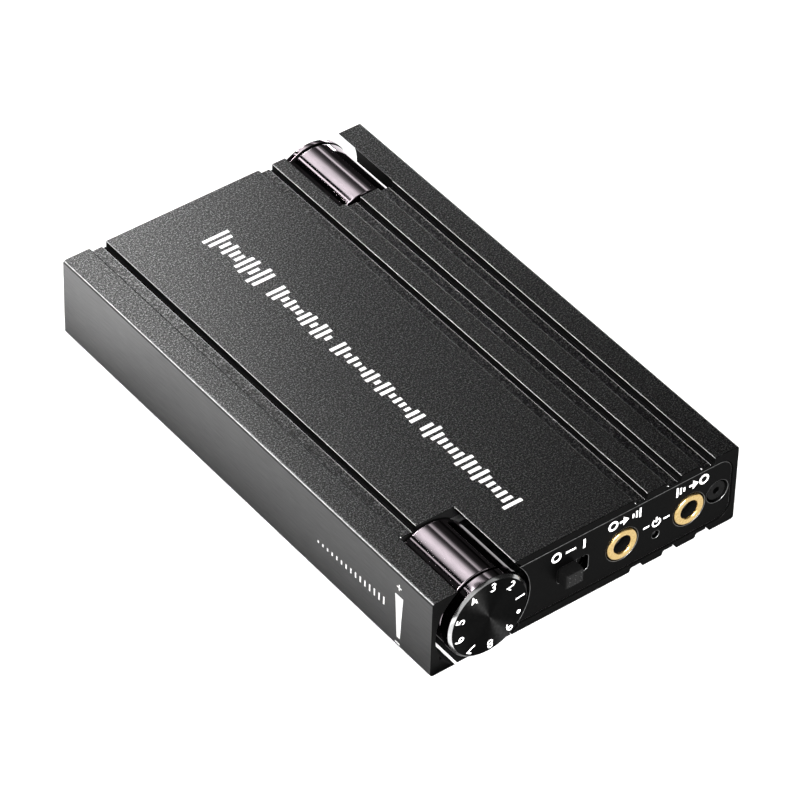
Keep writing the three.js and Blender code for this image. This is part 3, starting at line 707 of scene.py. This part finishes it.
def make_rings():
    """Gold collars: a crowned face with a soft outer edge, and a bevel into the black bore."""
    for name in ("line_out", "line_in"):
        low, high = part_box(f"{name}_ring")
        outer = (high.x - low.x) / 2
        inner = BORE_RADIUS
        face, back = low.y, high.y
        crown = outer - RING_CROWN
        profile = [(inner, back), (outer, back), (outer, face + RING_CROWN)]
        for step in range(1, RING_STEPS + 1):
            angle = math.pi / 2 * step / RING_STEPS
            profile.append((crown + RING_CROWN * math.cos(angle), face + RING_CROWN * (1 - math.sin(angle))))
        profile += [(inner + RING_LIP * 3, face), (inner + RING_LIP, face + RING_LIP),
                    (inner, face + RING_LIP * 3)]
        work = turned(profile, RING_SEGMENTS, closed=True)
        paint_turned(work, lambda reach, along: int(reach < inner + RING_LIP / 4))
        at_axis(work, (low + high) / 2)
        piece(f"{name}_collar", work, ["gold", "bore"], "amplifier_body", [f"{name}_ring"],
              MOULDED_SHARP)


LEVER_ROUND = 0.3 * MM
LEVER_GRID = 42
DIMPLE_RADIUS = 0.42 * MM
DIMPLE_DEPTH = 0.2 * MM
LEVER_HEAD_DEPTH = 4.15 * MM  # from the lever's tip to its shoulder behind the plate
LEVER_NECK = 2 * MM
LEVER_JOIN = 0.02 * MM  # how far the neck reaches into the head


def lever_depth(u, v, width, height):
    """How far the lever's tip lies behind its foremost plane: rounded edges and nine dimples."""
    near = min(u, v, width - u, height - v)
    depth = 0.0
    if near < LEVER_ROUND:
        depth = LEVER_ROUND - math.sqrt(max(0.0, LEVER_ROUND ** 2 - (LEVER_ROUND - near) ** 2))
    for column in (1, 3, 5):
        for row in (1, 3, 5):
            reach = math.hypot(u - width * column / 6, v - height * row / 6)
            if reach < DIMPLE_RADIUS:
                depth += DIMPLE_DEPTH * 0.5 * (1 + math.cos(math.pi * reach / DIMPLE_RADIUS))
    return depth


def make_lever():
    low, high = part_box("power_switch_lever")
    width, height = high.x - low.x, high.z - low.z
    shoulder = low.y + LEVER_HEAD_DEPTH
    work = bmesh.new()
    grid = []
    for row in range(LEVER_GRID + 1):
        line = []
        for column in range(LEVER_GRID + 1):
            u, v = width * column / LEVER_GRID, height * row / LEVER_GRID
            line.append(work.verts.new((low.x + u, low.y + lever_depth(u, v, width, height), low.z + v)))
        grid.append(line)
    for row in range(LEVER_GRID):
        for column in range(LEVER_GRID):
            work.faces.new([grid[row][column], grid[row][column + 1],
                            grid[row + 1][column + 1], grid[row + 1][column]])
    border = grid[0][:-1] + [line[-1] for line in grid[:-1]]
    border += grid[-1][:0:-1] + [line[0] for line in grid[:0:-1]]
    back = [work.verts.new((v.co.x, shoulder, v.co.z)) for v in border]
    for index in range(len(border)):
        after = (index + 1) % len(border)
        work.faces.new([border[index], border[after], back[after], back[index]])
    work.faces.new(back)
    middle = (low + high) / 2
    neck = bmesh.ops.create_cube(work, size=LEVER_NECK)["verts"]
    for vertex in neck:
        vertex.co.x += middle.x
        vertex.co.z += middle.z
        vertex.co.y = shoulder - LEVER_JOIN if vertex.co.y < 0 else high.y
    piece("lever_cap", work, ["lever"], "switch_lever", ["power_switch_lever"],
          MOULDED_SHARP)


CONTACTS = 12  # on each side of the tongue
CONTACT_MARGIN = 0.45 * MM  # from the tongue's sides to the contacts
CONTACT_ENDS = (3.4 * MM, 0.4 * MM)  # before the tongue's outer end


def make_usb():
    refined("usb_c_shell", "usb_c_sleeve", ["steel", "steel"], 0.06 * MM)
    refined("usb_c_tongue", "usb_c_blade", ["black_plastic", "black_plastic"], 0.08 * MM)
    low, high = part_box("usb_c_tongue")
    pitch = (high.x - low.x - 2 * CONTACT_MARGIN) / CONTACTS
    near, far = (high.y - end for end in CONTACT_ENDS)
    work = bmesh.new()
    for side, sign in ((high.z, 1), (low.z, -1)):
        for index in range(CONTACTS):
            left = low.x + CONTACT_MARGIN + pitch * (index + 0.25)
            outline = bar(left, near, left + pitch / 2, far)
            prism(work, outline, lambda u, v, w: (u, v, side + sign * (w - PRINT_SINK)), PRINT_DEPTH)
    piece("usb_c_contacts", work, ["gold"], "amplifier_body")


# ---- parts inside
INSIDE = [  # slot, finish, how far the corners are broken in mm, nodes
    ("bare_steel", "steel", 0.15, ["volume_pot", "bass_pot"]),
    ("black_plastic", "black_plastic", 0.12, ["line_out_jack", "line_in_jack"]),
    # the switch's steel body gets black oxide: a painted shade inside its slot
    ("bare_steel", "oxide", 0.12, ["power_switch"]),
    ("clear_lens", "lens", 0.1, ["power_led", "charge_led"]),
    ("board_black", "board", 0.08, ["main_board"]),
    ("cell_foil", "foil", 0.3, ["battery_cell"]),
    ("pad_foam", "foam", 0.1, ["battery_pad"]),
    ("white_plastic", "nylon", 0.15, ["battery_plug", "battery_socket"]),
    ("black_plastic", "black_plastic", 0.06, ["headphone_driver_chip", "bass_filter_chip", "charger_chip"]),
    ("ferrite_grey", "ferrite", 0.15, ["boost_inductor"]),
    ("cell_foil", "foil", 0.12, [f"coupling_capacitor_{number}" for number in range(1, 5)]),
]
CARRIED_OVER = {
    "battery_lead_red": "red_wire", "battery_lead_black": "black_wire",
    "volume_shaft": "steel", "bass_shaft": "steel",
}


def make_inside():
    for slot, key, edge, nodes in INSIDE:
        for node in nodes:
            refined(node, f"{node}_body", [key, key], edge * MM)
    for node, key in CARRIED_OVER.items():
        made = frame["nodes"][node]
        made.data.materials.clear()
        made.data.materials.append(MATERIALS[key])


# ---- printed marks
# Generic symbols only: level bars on top, a volume wedge on the side, pictograms on the front plate.
# Each face's marks are laid out in mm from two of its edges.
def on_top(u, v, w):
    """u from the left edge, v from the front."""
    return (LEFT + u, FRONT + v, TOP - PRINT_SINK + w)


def on_left(u, v, w):
    """u from the front, v from the base."""
    return (LEFT + PRINT_SINK - w, FRONT + u, v)


def on_plate(u, v, w):
    """u from the left edge, v from the base, on the front plate."""
    low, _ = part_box("front_panel")
    return (LEFT + u, low.y + PRINT_SINK - w, v)


def make_marks(name, place, outlines, rings=()):
    """Printed figures: outlines, and rings as ((u, v, radius, stroke), (start, sweep, steps) or nothing)."""
    work = bmesh.new()
    for ring, arc in rings:
        u, v, radius, stroke = (size * MM for size in ring)
        hoop(work, u, v, radius, stroke, place, PRINT_DEPTH, *arc)
    for outline in outlines:
        prism(work, [(u * MM, v * MM) for u, v in outline], place, PRINT_DEPTH)
    piece(name, work, ["print"], "amplifier_body")


# each run of level bars: where it starts and ends from the front, and its height across
LEVEL_RUNS = [(95.4, 81.2, 5.9), (77.6, 62.4, 4.2), (59.6, 37.2, 3.6), (34.6, 11.3, 4.2)]
LEVEL_CENTRE = 25.3
LEVEL_PITCH = 1.42
LEVEL_BAR = 0.72


def make_top_marks():
    outlines = []
    for start, end, height in LEVEL_RUNS:
        count = round((start - end) / LEVEL_PITCH)
        for index in range(count + 1):
            along = start - (start - end) * index / count
            share = 0.34 + 0.66 * abs(math.sin(2.1 * index + 0.35 * start) * math.cos(0.37 * index))
            half = height / 2 * share
            outlines.append(bar(LEVEL_CENTRE - half, along - LEVEL_BAR / 2,
                                LEVEL_CENTRE + half, along + LEVEL_BAR / 2))
    make_marks("level_bars", on_top, outlines)


TICKS = {"from": 31, "to": 12.9, "count": 15, "bottom": 6.7, "low": 0.5, "high": 1.7, "width": 0.34}
WEDGE = [(7.8, 11.7), (9.9, 11.7), (9.2, 2.2), (8.4, 2.2)]
PLUS = (8.9, 13.6, 0.62, 0.13)  # centre, arm and half the stroke
MINUS = (8.4, 0.78, 9.6, 1.04)


def cross(u, v, arm, half):
    """A plus sign's outline, three points to an arm."""
    points = []
    for cosine, sine in ((1, 0), (0, 1), (-1, 0), (0, -1)):
        for x, y in ((-half, -arm), (half, -arm), (half, -half)):
            points.append((u + x * cosine - y * sine, v + x * sine + y * cosine))
    return points


def make_side_marks():
    outlines = []
    for index in range(TICKS["count"]):
        share = index / (TICKS["count"] - 1)
        along = TICKS["from"] + (TICKS["to"] - TICKS["from"]) * share
        tall = TICKS["low"] + (TICKS["high"] - TICKS["low"]) * share
        outlines.append(bar(along - TICKS["width"] / 2, TICKS["bottom"],
                            along + TICKS["width"] / 2, TICKS["bottom"] + tall))
    make_marks("volume_wedge", on_left, outlines + [WEDGE, cross(*PLUS), bar(*MINUS)])


def arrow(left, right, middle, stroke, head):
    """An arrow between two ends, pointing to the second."""
    neck = right - head
    return [(left, middle - stroke / 2), (neck, middle - stroke / 2), (neck, middle - head * 0.8),
            (right, middle), (neck, middle + head * 0.8), (neck, middle + stroke / 2),
            (left, middle + stroke / 2)]


# strokes as (left, bottom, right, top), rings as (u, v, radius, stroke)
SWITCH_RING = (26.0, 12.5, 0.85, 0.42)
SWITCH_STROKES = [(28.0, 12.3, 30.1, 12.7), (31.7, 11.5, 32.15, 13.5)]
SOCKET_MARKS = ((40.35, 1), (55.35, -1))  # the middle of each, and whether its sound leaves or enters
SOCKET_MARK_HEIGHT = 12.95
POWER_RING = (47.6, 8.55, 0.8, 0.34)
POWER_ARC = (math.radians(125), math.radians(290), 20)  # start, sweep and steps
POWER_STROKES = [(47.43, 8.6, 47.77, 9.75), (44.75, 8.37, 46.05, 8.73), (49.15, 8.37, 50.45, 8.73)]


def make_plate_marks():
    """Off and on over the switch, sound leaving and entering over the sockets, power over the light."""
    rings = [(SWITCH_RING, ()), (POWER_RING, POWER_ARC)]
    outlines = [bar(*sides) for sides in SWITCH_STROKES + POWER_STROKES]
    for middle, way in SOCKET_MARKS:
        rings.append(((middle - way * 2.3, SOCKET_MARK_HEIGHT, 0.85, 0.4), ()))
        outlines.append(arrow(middle - 0.9, middle + 1.1, SOCKET_MARK_HEIGHT, 0.42, 1.2))
        for index in range(3):
            centre = middle + way * (2 + 0.75 * index)
            half = 0.45 + 0.3 * index
            outlines.append(bar(centre - 0.18, SOCKET_MARK_HEIGHT - half,
                                centre + 0.18, SOCKET_MARK_HEIGHT + half))
    make_marks("plate_symbols", on_plate, outlines, rings)


# ---- stage
SOFTBOX_RISE = 0.1  # above the object's top
SOFTBOX_TURN = math.radians(-34.7)  # its long edges run from front left to back right
FLOOR_HALF = 3


def staged_material(name):
    """An empty material: itself, its tree and the socket for its surface."""
    material = bpy.data.materials.new(name)
    material.use_nodes = True
    tree = material.node_tree
    tree.nodes.clear()
    return material, tree, add_node(tree, "OutputMaterial").inputs["Surface"]


def glow(name, strength_of):
    """A staged surface's light: strength_of(its tree) gives the socket that sets its strength."""
    material, tree, surface = staged_material(name)
    emission = add_node(tree, "Emission")
    tree.links.new(emission.outputs["Emission"], surface)
    tree.links.new(strength_of(tree), emission.inputs["Strength"])
    return material


def ramp_along(tree, axis, stops, extent):
    """A value from stops of (place, value) along one axis of the surface's own coordinates."""
    low, high = extent
    peak = max(value for _, value in stops)
    split = add_node(tree, "SeparateXYZ")
    tree.links.new(add_node(tree, "TexCoord").outputs["Object"], split.inputs["Vector"])
    spread = add_node(tree, "MapRange", From_Min=low, From_Max=high)
    tree.links.new(split.outputs[axis], spread.inputs["Value"])
    shares = [((place - low) / (high - low), grey(value / peak)) for place, value in stops]
    return combined(tree, "MULTIPLY", ramp_of(tree, spread.outputs["Result"], shares), peak)


def card(name, corners, material, **visibility):
    """A flat staged sheet between its corners, in its own coordinates."""
    mesh = bpy.data.meshes.new(name)
    mesh.from_pydata([(x, y, 0) for x, y in corners], [], [tuple(range(len(corners)))])
    mesh.materials.append(material)
    made = linked(name, mesh)
    for ray, seen in visibility.items():
        setattr(made, f"visible_{ray}", seen)
    return made


def mirrored_card(name, sides, stops, axis="X"):
    """A glowing card, only seen mirrored in the object, between (left, near, right, far) sides. Its strength
    changes along one axis."""
    extent = sides[0::2] if axis == "X" else sides[1::2]
    glowing = glow(f"{name}_glow", lambda tree: ramp_along(tree, axis, stops, extent))
    return card(name, bar(*sides), glowing, camera=False, diffuse=False, shadow=False)


def crossed_glow(name, sides, across, along):
    """A glow whose strength changes along both axes of a card with those sides."""
    return glow(name, lambda tree: combined(tree, "MULTIPLY", ramp_along(tree, "X", across, sides[0::2]),
                                            ramp_along(tree, "Y", along, sides[1::2])))


# light across the softbox, as (distance to the right of the line over the object's centre, strength)
SOFTBOX_ACROSS = [(-0.0718, 0), (-0.0715, 28), (-0.0668, 28), (-0.0665, 0), (-0.0545, 0), (-0.0535, 5),
                  (-0.0395, 5), (-0.036, 1.2), (-0.03, 0.2), (-0.02, 0.04), (0.0, 0.02), (0.06, 0.02),
                  (0.09, 0)]
SOFTBOX_ALONG = [(-0.12, 0.9), (0.0, 1), (0.28, 1), (0.3, 1)]
SOFTBOX_SIDES = (-0.08, -0.14, 0.1, 0.3)
# what each roller mirrors, as (degrees from the roller's top, strength), left to right
VOLUME_BAND = [(-31, 0), (-29, 0), (-28.4, 1.4), (-27.7, 1.4), (-27, 0), (-24.4, 0), (-23.5, 0.275),
               (-22.3, 0.75), (-20, 1.35), (-18.6, 1.55), (-16, 1.825), (-14, 1.85), (-12.5, 1.75),
               (-10, 1.375), (-8.6, 0.975), (-7.4, 0.6), (-6, 0.3), (-4.7, 0.125), (-3, 0.065), (-2, 0.06)]
VOLUME_LINE = [(-2, 0.06), (-1.3, 0.06), (-0.5, 0.65), (0.8, 0.95), (2.3, 0.5), (3.7, 0.25), (5, 0.045),
               (7, 0.04)]
BASS_BAND = [(-31, 0), (-24, 0), (-23.6, 2.6), (-22.1, 2.6), (-21.7, 0), (-18.7, 0), (-18.1, 1.65),
             (-16, 1.825), (-13.5, 1.85), (-11, 1.725), (-9.8, 1.65), (-8.5, 1.5), (-7.3, 1.2), (-6, 0.85),
             (-4.7, 0.5), (-3.3, 0.3), (-1.9, 0.175), (-0.5, 0.11)]
BASS_LINE = [(-0.5, 0.11), (0.9, 0.07), (3.8, 0.06), (4.8, 1.3), (6.6, 1.5), (7.7, 0.35), (9.5, 0.175),
             (12, 0.05)]
ROLLER_CARD_DROP = 0.5 * MM  # below the softbox
ROLLER_CARD_MARGIN = 1 * MM
EDGE_CARD_OFFSET = 7.4 * MM  # the rollers' far right edge mirrors a small card inside each pocket
EDGE_CARD_HEIGHT = (11.8 * MM, 13.7 * MM)
UPRIGHT = (math.pi / 2, 0, math.pi / 2)  # a card that stands and faces to the side


def make_softbox():
    """A long softbox overhead, bright along its left and faint to the right, and the rollers' cards."""
    glowing = crossed_glow("softbox_glow", SOFTBOX_SIDES, SOFTBOX_ACROSS, SOFTBOX_ALONG)
    softbox = card("softbox", bar(*SOFTBOX_SIDES), glowing, camera=False, shadow=False)
    softbox.rotation_euler.z = SOFTBOX_TURN
    softbox.location.z = TOP + SOFTBOX_RISE
    make_roller_cards("volume", ["volume_roller", "volume_dial"], PIVOTS["volume_turn"],
                      [VOLUME_BAND, VOLUME_LINE], 0.5)
    make_roller_cards("bass", ["bass_roller", "bass_end_cap"], PIVOTS["bass_turn"],
                      [BASS_BAND, BASS_LINE], 1.7)


def mirrored_place(pivot, radius, along, degrees):
    """Where a ray from the camera goes after it meets a roller at that angle: its place on the cards over
    the rollers."""
    angle = math.radians(degrees)
    normal = Vector((math.sin(angle), 0, math.cos(angle)))
    point = Vector((pivot.x, along, pivot.z)) + normal * radius
    to_camera = (bpy.context.scene.camera.location - point).normalized()
    bounce = 2 * normal.dot(to_camera) * normal - to_camera
    return point + bounce * ((TOP + SOFTBOX_RISE - ROLLER_CARD_DROP - point.z) / bounce.z)


def make_roller_cards(name, nodes, pivot, bands, edge_strength):
    """The bright bands along a roller: cards overhead and a narrow one beside its far edge."""
    low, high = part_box(nodes[0])
    radius = (high.x - low.x) / 2
    front = min(low.y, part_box(nodes[1])[0].y)
    rear = max(high.y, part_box(nodes[1])[1].y)
    for index, light in enumerate(bands):
        stops = [(mirrored_place(pivot, radius, (low.y + high.y) / 2, degrees).x, value)
                 for degrees, value in light]
        reach = [mirrored_place(pivot, radius, along, degrees).y
                 for along in (front, rear) for degrees, value in light]
        near, far = min(reach) - ROLLER_CARD_MARGIN, max(reach) + ROLLER_CARD_MARGIN
        over = mirrored_card(f"{name}_card_{index}", (stops[0][0], near, stops[-1][0], far), stops)
        over.location.z = TOP + SOFTBOX_RISE - ROLLER_CARD_DROP
    bottom, top = EDGE_CARD_HEIGHT
    even = [(low.y, edge_strength), (high.y, edge_strength)]
    beside = mirrored_card(f"{name}_edge_card", (low.y, bottom, high.y, top), even)
    beside.rotation_euler = UPRIGHT
    beside.location.x = pivot.x + EDGE_CARD_OFFSET


def floor_material(name, tone, glow_strength):
    """Matt, glowing by a set strength so that it keeps its tone, and clear from below."""
    material, tree, surface = staged_material(name)
    diffuse = add_node(tree, "BsdfDiffuse", Color=(tone, tone, tone, 1))
    emission = add_node(tree, "Emission", Strength=glow_strength)
    both, choose = add_node(tree, "AddShader"), add_node(tree, "MixShader")
    tree.links.new(diffuse.outputs["BSDF"], both.inputs[0])
    tree.links.new(emission.outputs["Emission"], both.inputs[1])
    tree.links.new(add_node(tree, "NewGeometry").outputs["Backfacing"], choose.inputs["Fac"])
    tree.links.new(both.outputs["Shader"], choose.inputs[1])
    tree.links.new(add_node(tree, "BsdfTransparent").outputs["BSDF"], choose.inputs[2])
    tree.links.new(choose.outputs["Shader"], surface)
    return material


FLOOR_DROP = 0.05 * MM  # the floor lies this far below the object's base
PAINTED_SHADOW_DROP = 0.03 * MM
PAINTED_SHADOW_INSET = {"wall": 5.75 * MM, "pocket": 17 * MM, "pocket_front": 0.2 * MM, "front": 1.2 * MM,
                "right": 1 * MM}


def make_floor():
    """The floor that is seen, white and softly shaded, and a near-black sheet where the object stands on it:
    a painted shadow.
    """
    corners = bar(-FLOOR_HALF, -FLOOR_HALF, FLOOR_HALF, FLOOR_HALF)
    floor = card("floor", corners, floor_material("floor_white", 0.8, 0.35), glossy=False)
    floor.location.z = -FLOOR_DROP
    wall, pocket = LEFT + PAINTED_SHADOW_INSET["wall"], LEFT + PAINTED_SHADOW_INSET["pocket"]
    pocket_front, front = FRONT + PAINTED_SHADOW_INSET["pocket_front"], FRONT + PAINTED_SHADOW_INSET["front"]
    right = CASE_HIGH.x - PAINTED_SHADOW_INSET["right"]
    outline = [(wall, pocket_front), (pocket, pocket_front), (pocket, front), (right, front),
               (right, -front), (wall, -front)]
    # a near-black sheet over the floor under the object's footprint: a painted shadow
    shadow_sheet = card("floor_painted_shadow_sheet", outline, floor_material("floor_painted_shadow", 0.01, 0.0), glossy=False)
    shadow_sheet.location.z = -PAINTED_SHADOW_DROP


MIRRORED_SIDES = (-0.3, -0.3, 0.3, 0.3)
MIRRORED_DROP = 0.1 * MM
MIRRORED_ACROSS = [(-0.3, 1.9), (LEFT - 0.03, 2.1), (LEFT - 0.012, 1.85), (LEFT - 0.005, 1.05), (LEFT, 0.4),
                   (LEFT + 0.0005, 0.08), (LEFT + 0.004, 0.08), (LEFT + 0.012, 0.95), (0.3, 0.95)]
MIRRORED_ALONG = [(-0.3, 0.7), (-0.1, 1.0), (-0.056, 1.0), (-0.05, 0.56), (0.0, 0.68), (0.035, 0.88),
                  (0.05, 1.3), (0.1, 1.4), (0.3, 1.2)]
CORNER_SIDES = (-0.06, -0.085, -0.0245, -0.0545)  # a brighter patch before the front left corner
CORNER_ALONG = [(-0.085, 1.2), (-0.0545, 1.636)]
CORNER_DROP = 0.08 * MM


def make_mirrored_floor():
    """What the object's faces mirror below them: a floor lit from the left, and brighter to the back."""
    glowing = crossed_glow("mirrored_floor_glow", MIRRORED_SIDES, MIRRORED_ACROSS, MIRRORED_ALONG)
    mirrored = card("mirrored_floor", bar(*MIRRORED_SIDES), glowing, camera=False, diffuse=False,
                    shadow=False)
    mirrored.location.z = -MIRRORED_DROP
    near = mirrored_card("mirrored_corner", CORNER_SIDES, CORNER_ALONG, "Y")
    near.location.z = -CORNER_DROP


def area_light(name, place, aim, size, power):
    data = bpy.data.lights.new(name, "AREA")
    data.shape = "RECTANGLE"
    data.size, data.size_y = size
    data.energy = power
    light = linked(name, data)
    light.location = place
    light.rotation_mode = "QUATERNION"
    light.rotation_quaternion = (Vector(aim) - Vector(place)).to_track_quat("-Z", "Y")
    return light


RIM_ALONG = [(0.02, 2), (0.08, 5), (0.11, 9), (0.18, 13)]
RIM_SIDES = (0.02, 0.019, 0.18, 0.036)
RIM_X = 0.141
FRONT_ALONG = [(-0.5, 0.8), (-0.2, 0.65), (0, 0.45), (0.2, 0.3), (0.5, 0.6)]
FRONT_SIDES = (-0.5, 0.02, 0.5, 0.6)
FRONT_Y = -0.5


def make_upright_cards():
    """A low card to the right, which draws the right-hand edges, and a dim wall across the front, for the
    dial's chamfer and the upper edges of the front plate."""
    rim = mirrored_card("rim_card", RIM_SIDES, RIM_ALONG)
    rim.rotation_euler = UPRIGHT
    rim.location.x = RIM_X
    wall = mirrored_card("front_card", FRONT_SIDES, FRONT_ALONG)
    wall.rotation_euler.x = math.pi / 2
    wall.location.y = FRONT_Y


def make_lights():
    make_softbox()
    key = area_light("key", place=(-0.35, -0.55, 0.9), aim=(0, 0, 0), size=(0.7, 0.7), power=14)
    key.visible_glossy = False
    window = area_light("window", place=(-0.40, 0.35, 0.28), aim=(0, 0, 0), size=(0.3, 0.2), power=2.5)
    window.visible_diffuse = False
    area_light("front", place=(-0.05, -0.6, 0.14), aim=DIAL_LOW, size=(0.12, 0.12), power=9)
    make_upright_cards()


MIRRORED_WORLD = 0.02  # how bright the surroundings are for everything but the camera


def make_world():
    """White where the camera sees past the floor, dim for everything that the object mirrors."""
    world = bpy.data.worlds.new("studio")
    bpy.context.scene.world = world
    world.use_nodes = True
    tree = world.node_tree
    background = tree.nodes["Background"]
    background.inputs["Color"].default_value = (1, 1, 1, 1)
    level = add_node(tree, "MapRange", To_Min=MIRRORED_WORLD)
    tree.links.new(add_node(tree, "LightPath").outputs["Is Camera Ray"], level.inputs["Value"])
    tree.links.new(level.outputs["Result"], background.inputs["Strength"])


# ---- the scene
make_camera()
bpy.context.scene.view_settings.view_transform = "Standard"
make_world()
make_floor()
make_mirrored_floor()
make_lights()

make_casing()
make_plates()
make_dial()
make_dial_scale()
make_roller("volume_control", "volume_turn", "volume_roller", "volume_dial", -1)
make_roller("bass_control", "bass_turn", "bass_roller", "bass_end_cap", 1)
make_end_cap()
make_rings()
make_lever()
make_usb()
make_inside()
make_top_marks()
make_side_marks()
make_plate_marks()
